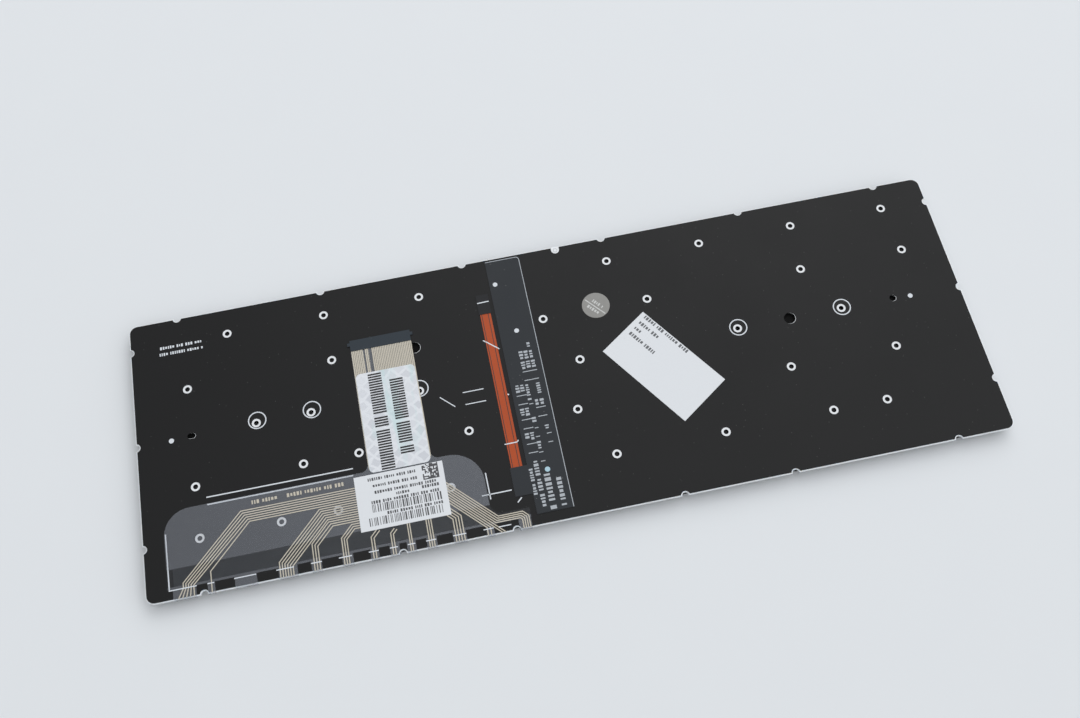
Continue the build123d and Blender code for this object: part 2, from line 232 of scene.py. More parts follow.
wire(
    worn,
    *[(place.outputs["Object"], texture.inputs["Vector"]) for texture in (grain, smudge, specks, lay)],
    (inlet.outputs["Grain Scale"], grain.inputs["Scale"]),
    (inlet.outputs["Smudge Scale"], smudge.inputs["Scale"]),
    (grain.outputs["Fac"], grain_share.inputs[0]),
    (smudge.outputs["Fac"], blend.inputs[0]),
    (grain_share.outputs[0], blend.inputs[2]),
    (blend.outputs[0], tone.inputs["Factor"]),
    (inlet.outputs["Tone"], tone.inputs["A"]),
    (inlet.outputs["Other Tone"], tone.inputs["B"]),
    (smudge.outputs["Fac"], polish.inputs["Value"]),
    (inlet.outputs["Smooth"], polish.inputs["To Min"]),
    (inlet.outputs["Rough"], polish.inputs["To Max"]),
    (specks.outputs["Distance"], speck_size.inputs["Value"]),
    (speck_size.outputs["Result"], lint.inputs[0]),
    (inlet.outputs["Dust"], lint.inputs[1]),
    (lint.outputs[0], dusty.inputs["Factor"]),
    (tone.outputs["Result"], dusty.inputs["A"]),
    (dusty.outputs["Result"], outlet.inputs["Colour"]),
    (lay.outputs["Vector"], rubs.inputs["Vector"]),
    (rubs.outputs["Fac"], rub_width.inputs["Value"]),
    (rub_width.outputs["Result"], rub_depth.inputs[0]),
    (inlet.outputs["Dust"], rub_depth.inputs[1]),
    (rub_depth.outputs[0], scuffed.inputs[0]),
    (polish.outputs["Result"], scuffed.inputs[2]),
    (scuffed.outputs[0], outlet.inputs["Roughness"]),
    (grain.outputs["Fac"], outlet.inputs["Height"]),
)


def finish(name, tone, other, grain, smudge, rough, relief, dust=0.15, **shader_values):
    """A material from the shared worn finish in two screen colours, with the shader's own values set."""
    material = bpy.data.materials.new(name)
    material.use_nodes = True
    tree = material.node_tree
    shader, wear = tree.nodes["Principled BSDF"], add_node(tree, "Group")
    wear.node_tree = worn
    wear.name = "wear"
    values = (screen(*tone), screen(*other), grain, smudge, *rough, dust)
    for socket, value in zip(wear.inputs, values):
        socket.default_value = value
    bump = add_node(tree, "Bump", Strength=0.35, Distance=relief * mm)
    wire(
        tree,
        (wear.outputs["Height"], bump.inputs["Height"]),
        (bump.outputs["Normal"], shader.inputs["Normal"]),
        (wear.outputs["Colour"], shader.inputs["Base Color"]),
        (wear.outputs["Roughness"], shader.inputs["Roughness"]),
    )
    for socket, value in shader_values.items():
        shader.inputs[socket.replace("_", " ")].default_value = value
    return material


def dress(piece, material, slot, body, *nodes):
    """Gives a piece its material, the body it rides on and the nodes it stands for. The slot is not used."""
    piece.data.materials.clear()
    piece.data.materials.append(material)
    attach(piece, body)
    if nodes:
        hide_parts(*nodes)
    return piece


cap = block("cap", (-cap_width / 2, -cap_depth / 2, 0), (cap_width / 2, cap_depth / 2, cap_height))
pick(cap, "FACE", lambda face: face.normal.z < -0.9)
bpy.ops.transform.resize(
    value=(1 - 2 * cap_lean / cap_width, 1 - 2 * cap_lean / cap_depth, 1), center_override=(0, 0, 0)
)
bpy.ops.object.mode_set(mode="OBJECT")
rounded(cap, upright(cap), cap_corner, 4)
rounded(cap, at_level(cap, 0), cap_edge, 3)
pick(cap, "FACE", lambda face: face.normal.z < -0.99)
bpy.ops.mesh.inset(thickness=cap_rim * mm)
bpy.ops.mesh.inset(thickness=dish_slope * mm)
bpy.ops.transform.translate(value=(0, 0, cap_dish * mm))
bpy.ops.object.mode_set(mode="OBJECT")
pick(cap, "FACE", lambda face: face.normal.z > 0.9)
bpy.ops.mesh.inset(thickness=cap_wall * mm)
bpy.ops.mesh.extrude_region_move(TRANSFORM_OT_translate={"value": (0, 0, (cap_roof - cap_height) * mm)})
smooth(cap)
hooks = []
for x, y in hook_places:
    low = (x - hook_half_x, y - hook_half_y, cap_roof)
    high = (x + hook_half_x, y + hook_half_y, cap_roof + hook_rise)
    hook = block("hook", low, high)
    rounded(hook, at_level(hook, cap_roof + hook_rise), hook_edge, 2)
    hooks.append(hook)
cap = joined("cap", [cap, *hooks])

keycap_paint = finish(
    "keycap_paint", (20, 20, 21), (31, 31, 33), 6000, 160, (0.42, 0.58), 0.02,
    dust=0.3, Specular_IOR_Level=0.4,
)
moving = sorted(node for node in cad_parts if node.startswith("key_"))
moving_places = {}
for node in moving:
    low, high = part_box(node)
    x, y = (low.x + high.x) / 2 / mm, (low.y + high.y) / 2 / mm
    width, depth = (high.x - low.x) / mm, (high.y - low.y) / mm
    key = node.removeprefix("key_")
    moving_places[key] = (x, y, width, depth)
    piece = stamped(cap, "keycap_" + key, x, y, width - cap_width, depth - cap_depth)
    dress(piece, keycap_paint, "keycap", "cap_" + key, node)

function_gaps = [field_end - function_pitch * step for step in range(18)]
number_gaps = [field_end, *[number_first - key_pitch * step for step in range(13)], column_x]
left_gaps = [field_end, *[upper_first - key_pitch * step for step in range(4)]]
space_end = upper_first - 8 * key_pitch
right_gaps = [space_end, space_end - key_pitch, space_end - 2 * key_pitch, arrow_start]
arrow_middle, arrow_overlap = (front_field + webs[4]) / 2, 1
arrows = caps_between([arrow_start, arrow_start - key_pitch], front_field, webs[4])
arrows += caps_between([column_x, -field_end], front_field, webs[4])
arrows += caps_between([column_x + key_pitch, column_x], front_field, arrow_middle + arrow_overlap)
arrows += caps_between([column_x + key_pitch, column_x], arrow_middle - arrow_overlap, webs[4])
fixed_places = {
    "function_and_number_keys": caps_between(function_gaps, webs[0], rear_field)
    + caps_between(number_gaps, webs[1], webs[0]),
    "side_column_keys": [
        place
        for front, rear in zip(webs[1:], webs)
        for place in caps_between([column_x, -field_end], front, rear)
    ],
    "left_modifier_keys": caps_between(left_gaps, front_field, webs[4]),
    "right_modifier_keys": caps_between(right_gaps, front_field, webs[4]) + arrows,
}
for node, places in fixed_places.items():
    copies = [stamped(cap, "copy", x, y, w - cap_width, d - cap_depth) for x, y, w, d in places]
    dress(joined(node.replace("_keys", "_caps"), copies), keycap_paint, "keycap", "chassis", node)
bpy.data.objects.remove(cap)

# Rubber domes: one milky silicone dome under each cap, glued to the membrane by its flange.
# It springs the key back. The domes stay on the chassis and do not flatten as the key goes down.
membrane_z, key_travel = 3.6, 1.3
dome_tip, dome_base, dome_tip_radius = 0.75, 2.2, 1.45
flange_radius, flange_thick = 2.75, 0.15
dome_edge, contact_ring, contact_depth = 0.3, 0.35, 0.5
bpy.ops.mesh.primitive_cone_add(
    vertices=20,
    radius1=dome_tip_radius * mm,
    radius2=dome_base * mm,
    depth=(membrane_z - flange_thick - dome_tip) * mm,
    location=(0, 0, (membrane_z - flange_thick + dome_tip) / 2 * mm),
)
dome = settle("dome")
rounded(dome, at_level(dome, dome_tip), dome_edge, 3)
pick(dome, "FACE", lambda face: face.normal.z < -0.99)
bpy.ops.mesh.inset(thickness=contact_ring * mm)
bpy.ops.mesh.extrude_region_move(TRANSFORM_OT_translate={"value": (0, 0, contact_depth * mm)})
bpy.ops.object.mode_set(mode="OBJECT")
pick(dome, "FACE", lambda face: face.normal.z > 0.99 and face.center.z > 3 * mm)
bpy.ops.mesh.extrude_region_move()
bpy.ops.transform.resize(
    value=(flange_radius / dome_base, flange_radius / dome_base, 1), center_override=(0, 0, membrane_z * mm)
)
bpy.ops.mesh.extrude_region_move(TRANSFORM_OT_translate={"value": (0, 0, flange_thick * mm)})
smooth(dome)
silicone = finish(
    "silicone", (205, 208, 210), (222, 224, 225), 2500, 90, (0.45, 0.6), 0.02, Subsurface_Weight=0.2
)
for key, (x, y, width, depth) in moving_places.items():
    piece = dress(stamped(dome, "dome_" + key, x, y), silicone, "dome", "chassis", "rubber_domes")
    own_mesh(piece)
for node, places in fixed_places.items():
    copies = [stamped(dome, "copy", x, y) for x, y, width, depth in places]
    dress(joined(node.replace("_keys", "_domes"), copies), silicone, "dome", "chassis", node)
bpy.data.objects.remove(dome)

# Scissor links: a wide and a narrow frame in natural acetal, crossed under each cap.
# They clip into the hooks of the cap and keep it level. They stay on the chassis and do not fold as it goes
# down.
link_depth, link_bar, link_thick, link_z = 9.0, 0.8, 0.5, 2.2
link_tilt = math.radians(14)
link_low, link_core, link_clearance = 0.86, 1.5, 0.6
wide_link, narrow_link = 10.4, 8.4


def thicken(piece, thickness, offset):
    """Gives a flat sheet its thickness, in millimetres, and leaves it as plain mesh."""
    only(piece)
    wall = piece.modifiers.new("wall", "SOLIDIFY")
    wall.thickness = thickness * mm
    wall.offset = offset
    bpy.ops.object.modifier_apply(modifier=wall.name)
    return piece


frames = []
for width, tilt in ((wide_link, link_tilt), (narrow_link, -link_tilt)):
    bpy.ops.mesh.primitive_plane_add(size=1)
    bpy.context.object.scale = (width * mm, link_depth * mm, 1)
    link = settle("link")
    pick(link, "FACE", lambda face: True)
    bpy.ops.mesh.inset(thickness=link_bar * mm)
    bpy.ops.mesh.delete(type="FACE")
    thicken(link, link_thick, 0)
    link.rotation_euler.x = tilt
    link.location.z = link_z * mm
    bpy.context.view_layer.update()
    bpy.ops.object.transform_apply(location=True, rotation=True, scale=True)
    frames.append(link)
links = joined("links", frames)
acetal = finish("acetal", (196, 197, 192), (212, 212, 206), 3000, 120, (0.35, 0.5), 0.01)


def link_room(depth):
    """How far the links come in so that they fit inside a shallow cap."""
    return min(0.0, depth - 2 * cap_wall - link_clearance - link_depth)


for key, (x, y, width, depth) in moving_places.items():
    piece = stamped(links, "links_" + key, x, y, 0, link_room(depth), link_core)
    dress(piece, acetal, "dome", "chassis")
    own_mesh(piece)
for node, places in fixed_places.items():
    copies = [stamped(links, "copy", x, y, 0, link_room(d), link_core) for x, y, w, d in places]
    dress(joined(node.replace("_keys", "_links"), copies), acetal, "dome", "chassis")
bpy.data.objects.remove(links)

# Base plate: thin sheet steel, blackened, with a collar drawn up around each screw hole.
# It carries the membrane and keys, and shows only at the bottom of the holes.
blackened = finish(
    "blackened_steel", (9, 9, 10), (17, 17, 18), 1800, 120, (0.45, 0.65), 0.01, Specular_IOR_Level=0.25
)


def coat(node, material):
    """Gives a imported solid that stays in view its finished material."""
    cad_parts[node].data.materials.clear()
    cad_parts[node].data.materials.append(material)


coat("base_plate", blackened)

# Light guide: a clear acrylic sheet, die cut with the notches of the outline.
# Light scatters out at its cut edge, so it shows as a white line around the keyboard.
plate_x, plate_y = 147.5, 50.8
guide_z, reflector_z, film_z, back_z = 4.15, 4.75, 4.85, 4.95
plate_corner, notch_radius = 3.0, 1.2
guide_hole, guide_window = 1.45, 2.7
side_shift, hole_shift, post_shift_x, post_shift_y = 0.7, 0.5, 0.8, 1.4
cutter_depth, cut_past = 4, 1
rear_gaps = function_gaps[1:17]
notches = [(rear_gaps[step], plate_y) for step in (0, 3, 6, 9, 12, 15)]
notches += [(side, webs[row] - side_shift) for side in (-plate_x, plate_x) for row in (0, 2, 4)]
notches += [(home_first + key_pitch * (0.5 - step), -plate_y) for step in (0, 3, 5, 8, 10)]
notches += [(column_x, -plate_y)]
stakes = [(rear_gaps[step], webs[0]) for step in (0, 2, 4, 6, 10, 12, 14)]
stakes += [(number_first - key_pitch * step, webs[1]) for step in (0, 2, 5, 7, 11)]
stakes += [(upper_first - key_pitch * 6, webs[2])]
stakes += [(home_first - key_pitch * step, webs[3]) for step in (0, 2, 6, 8, 10, 11)]
stakes += [(lower_first - key_pitch * step, webs[4] - hole_shift) for step in (0, 1, 3, 5, 8, 10, 11)]
stakes += [(column_x, webs[row] - hole_shift) for row in (1, 3, 4)]
screws = [(upper_first - key_pitch * step, webs[2]) for step in (1, 3, 9, 11, 12)]
posts = [(upper_first - key_pitch * 2, webs[2])]
posts += [(upper_first - key_pitch * 9 + post_shift_x, webs[1] - post_shift_y)]
pin_hole, pin_slot = (upper_first, webs[2]), (column_x, webs[2])
led_slot = ((-13.3, -40.95), (-9.3, 43.65))


def die_cut(name, inset, low_z, high_z, corner, rounds):
    """A sheet of the keyboard's size less the inset, with round-ended holes of x, y, radius and reach."""
    x, y = plate_x - inset, plate_y - inset
    sheet = block(name, (-x, -y, low_z), (x, y, high_z))
    if corner:
        rounded(sheet, upright(sheet), corner, 8)
    (left, front), (right, rear) = led_slot
    cutters = [block("cutter", (left, front, low_z - cut_past), (right, rear, high_z + cut_past))]
    for x, y, radius, reach_x, reach_y in rounds:
        bpy.ops.mesh.primitive_cylinder_add(vertices=32, radius=radius * mm, depth=cutter_depth * mm)
        cutter = bpy.context.object
        for point in cutter.data.vertices:
            point.co.x += reach_x * mm if point.co.x > 1e-7 else 0
            point.co.y += reach_y * mm if point.co.y > 1e-7 else 0
        cutter.location = (x * mm, y * mm, (low_z + high_z) / 2 * mm)
        cutters.append(cutter)
    die = joined("die", cutters)
    cut = sheet.modifiers.new("cut", "BOOLEAN")
    cut.object, cut.operation, cut.solver = die, "DIFFERENCE", "EXACT"
    only(sheet)
    bpy.ops.object.modifier_apply(modifier=cut.name)
    bpy.data.objects.remove(die)
    return smooth(sheet, 25)


def plain_round(places, radius):
    """Plain round holes of one size."""
    return [(x, y, radius, 0, 0) for x, y in places]


guide_rounds = plain_round(notches, notch_radius) + plain_round([*stakes, *screws], guide_hole)
guide_rounds += plain_round([*posts, pin_hole, pin_slot], guide_window)
guide = die_cut("light_guide_sheet", 0, guide_z, reflector_z, plate_corner, guide_rounds)
acrylic = finish(
    "acrylic_edge", (222, 226, 230), (238, 240, 243), 900, 60, (0.22, 0.4), 0.01, Subsurface_Weight=0.15
)
dress(guide, acrylic, "light_guide", "chassis", "light_guide")

# Reflector: a white polyester film on the light guide that sends the light back to the keys.
# Its edge stays hidden, but it shows as a white ring in each hole of the film above it.
reflector_inset, reflector_hole = 1.9, 0.86
post_radius, pin_radius, slot_radius, slot_reach = 2.1, 1.2, 0.95, 0.9
tab_x, lug_half, lug_back, lug_corner = rear_gaps[7], 1.5, 0.35, 0.2


def locating(rim):
    """The post holes, the pin hole and the pin slot, cut back by the rim."""
    slot = (pin_slot[0] - slot_reach / 2, pin_slot[1], slot_radius + rim, slot_reach, 0)
    return plain_round(posts, post_radius + rim) + plain_round([pin_hole], pin_radius + rim) + [slot]


reflector_rounds = plain_round([*stakes, *screws], reflector_hole) + locating(0)
reflector = die_cut("white_reflector", reflector_inset, reflector_z, film_z, 0, reflector_rounds)
lug = block(
    "lug",
    (tab_x - lug_half, plate_y - reflector_inset, reflector_z),
    (tab_x + lug_half, plate_y - lug_back, film_z),
)
lug_points, lug_upright = lug.data.vertices, upright(lug)
rounded(
    lug,
    lambda edge: lug_upright(edge) and lug_points[edge.vertices[0]].co.y > (plate_y - 1) * mm,
    lug_corner,
    3,
)
white_polyester = finish("white_polyester", (219, 222, 226), (232, 234, 237), 1500, 70, (0.35, 0.5), 0.01)
reflector = joined("white_reflector", [reflector, lug])
dress(reflector, white_polyester, "white_film", "chassis", "reflector_film")

# Back film: black polyester with a satin face, die cut in from the edge and around each hole.
# It keeps the light in. Handling leaves faint smears and a little lint on it.
film_inset, ring_radius = 0.35, 1.6
film_rim, film_shift_x, film_shift_y = 0.05, 0.1, -0.07
lug_notch_y, lug_notch_radius, lug_notch_reach = plate_y - 1.3, 1.5, 3
film_rounds = plain_round(notches, notch_radius + film_inset)
film_rounds += plain_round([*stakes, *screws], ring_radius)
film_rounds += [
    (x + film_shift_x, y + film_shift_y, radius, *reach) for x, y, radius, *reach in locating(film_rim)
]
film_rounds.append((tab_x, lug_notch_y, lug_notch_radius, 0, lug_notch_reach))
film = die_cut("back_film_sheet", film_inset, film_z, back_z, plate_corner - film_inset, film_rounds)
black_polyester = finish(
    "black_polyester", (20, 20, 21), (26, 26, 27), 4500, 24, (0.36, 0.48), 0.006,
    dust=0.22, Specular_IOR_Level=0.2,
)
dress(film, black_polyester, "black_film", "chassis", "back_film")

# Patches: four squares of painted shade, near-black sheets set in the membrane's windows around the locating
# holes.
# They stand for the shade deep in those holes, so the locating holes look black from the back.
patch_half, patch_low, patch_high = 2.65, 3.66, 3.72
patches = [
    block("patch", (x - patch_half, y - patch_half, patch_low), (x + patch_half, y + patch_half, patch_high))
    for x, y in [*posts, pin_hole, pin_slot]
]
# Painted shade: a near-black finish for the patches, standing for the shade in the locating holes.
painted_shade_black = finish(
    "painted_shade_black", (8, 8, 8), (12, 12, 12), 2500, 90, (0.6, 0.75), 0.01, Specular_IOR_Level=0.1
)
dress(joined("hole_shade_patches", patches), painted_shade_black, "black_film", "chassis")

# Print on the back film: white ink circles around the screw holes, dots beside the pin holes,
# and lines that show where the flap and the tails are laid down. Plain dashes are by one corner.
ink_thick, least_lean = 0.015, 0.35
circle_radius, circle_stroke = 3.2, 0.4
lug_mark_y, lug_mark_radius, lug_mark_stroke = plate_y - 1.45, 0.8, 0.22
dash_widths, dash_heights, dash_space, word_space = (0.35, 0.5, 0.6), (0.75, 1.0, 1.0), 0.28, 0.8
film_word_height = 1.1


def laid_lines(name, lines, z, thickness=ink_thick):
    """Flat strips along lines of points, each with its own width, in millimetres, lying on height z."""
    points, faces = [], []
    for line, width in lines:
        steps = [Vector(b) - Vector(a) for a, b in zip(line, line[1:])]
        sides = [Vector((-step.y, step.x)).normalized() for step in steps]
        first = len(points)
        for place, before, after in zip(line, [sides[0], *sides], [*sides, sides[-1]]):
            lean = (before + after).normalized()
            reach = lean * (width / 2 / max(least_lean, lean.dot(after)))
            points += [(place[0] + reach.x, place[1] + reach.y), (place[0] - reach.x, place[1] - reach.y)]
        faces += [(i, i + 1, i + 3, i + 2) for i in range(first, len(points) - 2, 2)]
    mesh = bpy.data.meshes.new(name)
    mesh.from_pydata([(x * mm, y * mm, (z + thickness) * mm) for x, y in points], [], faces)
    piece = bpy.data.objects.new(name, mesh)
    bpy.context.collection.objects.link(piece)
    pick(piece, "FACE", lambda face: face.normal.z < 0)
    bpy.ops.mesh.flip_normals()
    return thicken(piece, thickness, -1)


def print_on(name, lines, z, material, slot):
    """Lines of ink on a piece of the chassis."""
    dress(laid_lines(name, lines, z), material, slot, "chassis")


def laid_disc(x, y, radius, z, stroke=0.0, thickness=ink_thick):
    """A flat printed dot, or a ring if it has a stroke, lying on height z."""
    bpy.ops.mesh.primitive_circle_add(
        vertices=48, radius=radius * mm, fill_type="NGON", location=(x * mm, y * mm, (z + thickness) * mm)
    )
    disc = settle("disc")
    if stroke:
        pick(disc, "FACE", lambda face: True)
        bpy.ops.mesh.inset(thickness=stroke * mm)
        bpy.ops.mesh.delete(type="FACE")
    return thicken(disc, thickness, -1)


dash_draw = random.Random(11)


def dash_row(x, y, length, height, along=(1, 0)):
    """A row of small dashes, in words of uneven length, that starts at x, y and runs along a direction."""
    dashes, reach = [], 0.0
    left_in_word = dash_draw.randint(3, 7)
    while reach < length:
        wide = height * dash_draw.choice(dash_widths)
        start = (x + along[0] * reach, y + along[1] * reach)
        end = (start[0] + along[0] * wide, start[1] + along[1] * wide)
        dashes.append(((start, end), height * dash_draw.choice(dash_heights)))
        left_in_word -= 1
        reach += wide + height * (dash_space if left_in_word else word_space)
        left_in_word = left_in_word or dash_draw.randint(3, 7)
    return dashes


white_ink = finish("white_ink", (196, 202, 210), (226, 230, 235), 5000, 200, (0.45, 0.6), 0.005)
pale_grey = finish("pale_grey", (178, 183, 186), (190, 194, 197), 4000, 200, (0.4, 0.5), 0.004)
lug_mark = laid_disc(tab_x, lug_mark_y, lug_mark_radius, film_z, lug_mark_stroke)
dress(joined("lug_mark", [lug_mark]), pale_grey, "white_film", "chassis")
film_lines = [
    (((-125.2, -18.3), (-75.5, -18.5)), 0.42),
    (((-125.1, -20.9), (-75.7, -20.95)), 0.48),
    (((-139.65, -28.3), (-139.65, -47.5)), 0.42),
    (((-42.4, 0.9), (-37.7, -3.65)), 0.34),
    (((-34.3, 0.95), (-26.95, 0.95)), 0.34),
    (((-34.1, -3.6), (-26.85, -3.6)), 0.34),
    (((-31.85, -29.3), (-31.75, -38.75)), 0.4),
    (((-34.45, -37.0), (-24.3, -37.0)), 0.4),
    (((-21.5, -40.2), (-23.1, -41.65)), 0.4),
    (((-23.8, 19.05), (-22.9, 18.3)), 0.4),
    (((-23.6, -20.75), (-22.9, -20.75)), 0.4),
    (((-19.25, 15.1), (-18.75, 14.66)), 0.4),
    (((-19.25, -20.7), (-18.7, -20.1)), 0.4),
    (((-19.2, -2.75), (-18.7, -3.2)), 0.5),
]
film_lines += dash_row(-136.9, 40.0, 14.6, film_word_height)
film_lines += dash_row(-137.2, 37.55, 15.2, film_word_height)
film_marks = [laid_lines("film_lines", film_lines, back_z)]
circle_shifts = [(0.3, 0.3), (0.3, 0.3), (0.1, 0.9), (0.4, 0.9), (0.4, 0.9)]
for (x, y), (shift_x, shift_y) in zip(screws, circle_shifts):
    film_marks.append(laid_disc(x + shift_x, y + shift_y, circle_radius, back_z, circle_stroke))
film_marks += [laid_disc(-135.35, 4.3, 0.88, back_z), laid_disc(128.95, 4.3, 0.85, back_z)]
dress(joined("film_print", film_marks), white_ink, "white_film", "chassis")

# Backlight circuit: a copper clad polyimide strip under a slate cover film, with a bare orange tail.
# The LEDs on its far side reach through the sheets into the light guide. The strip is glued down.
flex_top, cover_top, light_end_top = 5.05, 5.15, 5.2
bare_right, bare_front = -17.65, -29.5
polyimide = finish(
    "polyimide", (160, 60, 8), (178, 72, 15), 1600, 70, (0.32, 0.44), 0.008, Specular_IOR_Level=0.35
)
slate_cover = finish(
    "slate_cover", (37, 40, 44), (43, 47, 52), 3500, 40, (0.42, 0.55), 0.008,
    dust=0.5, Specular_IOR_Level=0.24,
)
black_board = finish(
    "black_board", (27, 28, 31), (35, 36, 39), 3500, 80, (0.4, 0.55), 0.008, Specular_IOR_Level=0.22
)
led_resin = finish("led_resin", (236, 226, 180), (246, 240, 214), 1500, 200, (0.25, 0.35), 0.005)
tape = polyimide.node_tree
where, axes = add_node(tape, "TexCoord"), add_node(tape, "SeparateXYZ")
bare_x = add_math(tape, "LESS_THAN", bare_right * mm)
bare_y = add_math(tape, "GREATER_THAN", bare_front * mm)
bare, covered = add_math(tape, "MULTIPLY"), add_mix(tape, A=screen(40, 43, 48))
wire(
    tape,
    (where.outputs["Object"], axes.inputs[0]),
    (axes.outputs["X"], bare_x.inputs[0]),
    (axes.outputs["Y"], bare_y.inputs[0]),
    (bare_x.outputs[0], bare.inputs[0]),
    (bare_y.outputs[0], bare.inputs[1]),
    (bare.outputs[0], covered.inputs["Factor"]),
    (tape.nodes["wear"].outputs["Colour"], covered.inputs["B"]),
    (covered.outputs["Result"], tape.nodes["Principled BSDF"].inputs["Base Color"]),
)
coat("backlight_flex", polyimide)
coat("backlight_coverlay", slate_cover)
coat("backlight_tail_stiffener", black_board)
coat("backlight_leds", led_resin)

copper_shade = finish("copper_shade", (60, 25, 12), (78, 34, 18), 1600, 70, (0.35, 0.45), 0.005)
tail_rails = [(((x, -29.4), (x, 29.2)), 0.28) for x in (-22.45, -20.15)]
print_on("light_tail_conductors", tail_rails, flex_top, copper_shade, "flex_orange")
tail_marks = [(((-22.95, 18.35), (-19.25, 15.1)), 0.4), (((-22.95, -20.75), (-19.25, -20.75)), 0.4)]
print_on("light_tail_marks", tail_marks, flex_top + ink_thick, white_ink, "white_film")
end_marks = [(((-23.2, 33.75), (-19.0, 33.85)), 0.4)]
print_on("light_end_mark", end_marks, light_end_top, white_ink, "white_film")

silk_ink = finish("silk_ink", (150, 156, 164), (186, 191, 197), 5000, 260, (0.45, 0.6), 0.005)
silk_width, silk_bend = 0.3, 1.2
bend = [
    (-6.35 + silk_bend * math.sin(turn), 48.3 + silk_bend * math.cos(turn))
    for turn in (0.0, 0.4, 0.79, 1.18, 1.57)
]
silk_lines = [(((-17.5, 49.5), *bend, (-5.15, -46.9)), 0.24)]
for left, right, y in (
    (-12.4, -7.3, 4.1),
    (-12.4, -7.3, 0.8),
    (-16.2, -12.7, -4.45),
    (-16.2, -12.9, -7.7),
    (-12.5, -11.1, -8.1),
    (-10.4, -7.1, -9.9),
    (-10.4, -7.2, -13.2),
    (-16.2, -12.7, -13.45),
    (-16.2, -12.8, -16.7),
    (-12.4, -11.1, -17.1),
    (-8.7, -7.1, -19.8),
    (-12.7, -11.2, -20.3),
    (-16.2, -12.7, -22.4),
    (-8.8, -7.2, -23.0),
    (-16.2, -12.9, -25.6),
    (-12.7, -11.2, -26.0),
    (-12.7, -11.2, -29.25),
):
    silk_lines.append((((left, y), (right, y)), silk_width))
down = (0, -1)
for x, y, reach, height in (
    (-8.45, 15.0, 1.3, 1.4),
    (-11.7, 12.1, 2.4, 1.4),
    (-9.95, 12.0, 2.4, 1.4),
    (-8.2, 11.8, 2.3, 1.4),
    (-11.7, 8.0, 2.6, 1.4),
    (-9.9, 8.0, 2.6, 1.4),
    (-8.1, 8.0, 2.6, 1.4),
    (-15.4, -0.4, 2.4, 1.4),
    (-13.75, -0.5, 2.3, 1.4),
    (-12.0, -0.7, 5.6, 1.3),
    (-8.1, -0.8, 3.8, 1.3),
    (-9.8, -6.85, 1.4, 1.4),
    (-8.0, -6.9, 1.3, 1.4),
    (-15.4, -9.3, 2.3, 1.4),
    (-13.7, -9.3, 2.2, 1.4),
    (-12.0, -13.1, 2.0, 1.4),
    (-8.2, -16.7, 1.5, 1.4),
    (-15.5, -18.4, 2.2, 1.4),
    (-13.75, -18.4, 2.2, 1.4),
    (-12.05, -22.0, 2.2, 1.4),
    (-16.7, -31.1, 8.6, 1.3),
    (-14.6, -28.7, 17.4, 1.6),
    (-11.75, -33.9, 12.8, 2.1),
    (-8.1, -35.9, 10.0, 1.7),
):
    silk_lines += dash_row(x, y, reach, height, down)
print_on("strip_silkscreen", silk_lines, cover_top, silk_ink, "white_film")
strip_dots = [laid_disc(-15.5, 39.95, 0.85, cover_top), laid_disc(-11.4, 20.3, 0.85, cover_top)]
dress(joined("strip_dots", strip_dots), white_ink, "white_film", "chassis")
pale_blue = finish("pale_blue_dot", (150, 188, 206), (178, 208, 220), 4000, 300, (0.4, 0.5), 0.005)
test_dot = laid_disc(-11.1, -32.4, 0.9, cover_top)
dress(joined("strip_test_dot", [test_dot]), pale_blue, "white_film", "chassis")

# Membrane: two polyester sheets with printed contacts under the plate. Narrow tabs fold round the front
# edge to a clear flap on the back, which a strip of adhesive holds. It looks milky where air lies under
# it and dark where the adhesive wets it. Under the plate it is painted opaque black, as painted shade at the
# bottom of the holes.
band_rear, band_front, band_blur = -40.6, -46.5, 0.06
milk_ends, milk_shares, least_veil = (-140, -20), (0.12, 0.155), 0.02
shade_from_z, shade_from_y = (4.3, 4.2), (-50.45, -50.4)
clear_film = finish(
    "clear_film", (168, 173, 184), (180, 185, 195), 500, 50, (0.25, 0.4), 0.001, Specular_IOR_Level=0.45
)
clear = clear_film.node_tree
where, axes = add_node(clear, "TexCoord"), add_node(clear, "SeparateXYZ")
# Painted shade: a near-black colour mixed in under the plate, standing for the shade below the holes.
printed = add_mix(clear, B=screen(12, 12, 13))


def ramp(axis, start, end, low=0.0, high=1.0):
    """A value that goes from low to high between two places along an axis, in millimetres."""
    node = add_node(clear, "MapRange", From_Min=start * mm, From_Max=end * mm, To_Min=low, To_Max=high)
    clear.links.new(axes.outputs[axis], node.inputs["Value"])
    return node.outputs["Result"]


def work_out(operation, first, second):
    """The product or the larger of two values."""
    node = add_math(clear, operation)
    wire(clear, (first, node.inputs[0]), (second, node.inputs[1]))
    return node.outputs[0]


behind = ramp("Y", band_rear - band_blur, band_rear + band_blur)
before = ramp("Y", band_front + band_blur, band_front - band_blur)
milky = work_out("MULTIPLY", work_out("MAXIMUM", behind, before), ramp("X", *milk_ends, *milk_shares))
veil = add_math(clear, "MAXIMUM", least_veil)
# Painted shade mask: opaque black below the plate's height and behind the fold.
painted_shade_under_plate = work_out("MULTIPLY", ramp("Z", *shade_from_z), ramp("Y", *shade_from_y))
solid = work_out("MAXIMUM", veil.outputs[0], painted_shade_under_plate)
wire(
    clear,
    (where.outputs["Object"], axes.inputs[0]),
    (milky, veil.inputs[0]),
    (solid, clear.nodes["Principled BSDF"].inputs["Alpha"]),
    (painted_shade_under_plate, printed.inputs["Factor"]),
    (clear.nodes["wear"].outputs["Colour"], printed.inputs["A"]),
    (printed.outputs["Result"], clear.nodes["Principled BSDF"].inputs["Base Color"]),
)
coat("membrane", clear_film)
adhesive = finish("adhesive", (23, 27, 32), (30, 34, 40), 2500, 60, (0.35, 0.5), 0.01)
coat("flap_adhesive", adhesive)

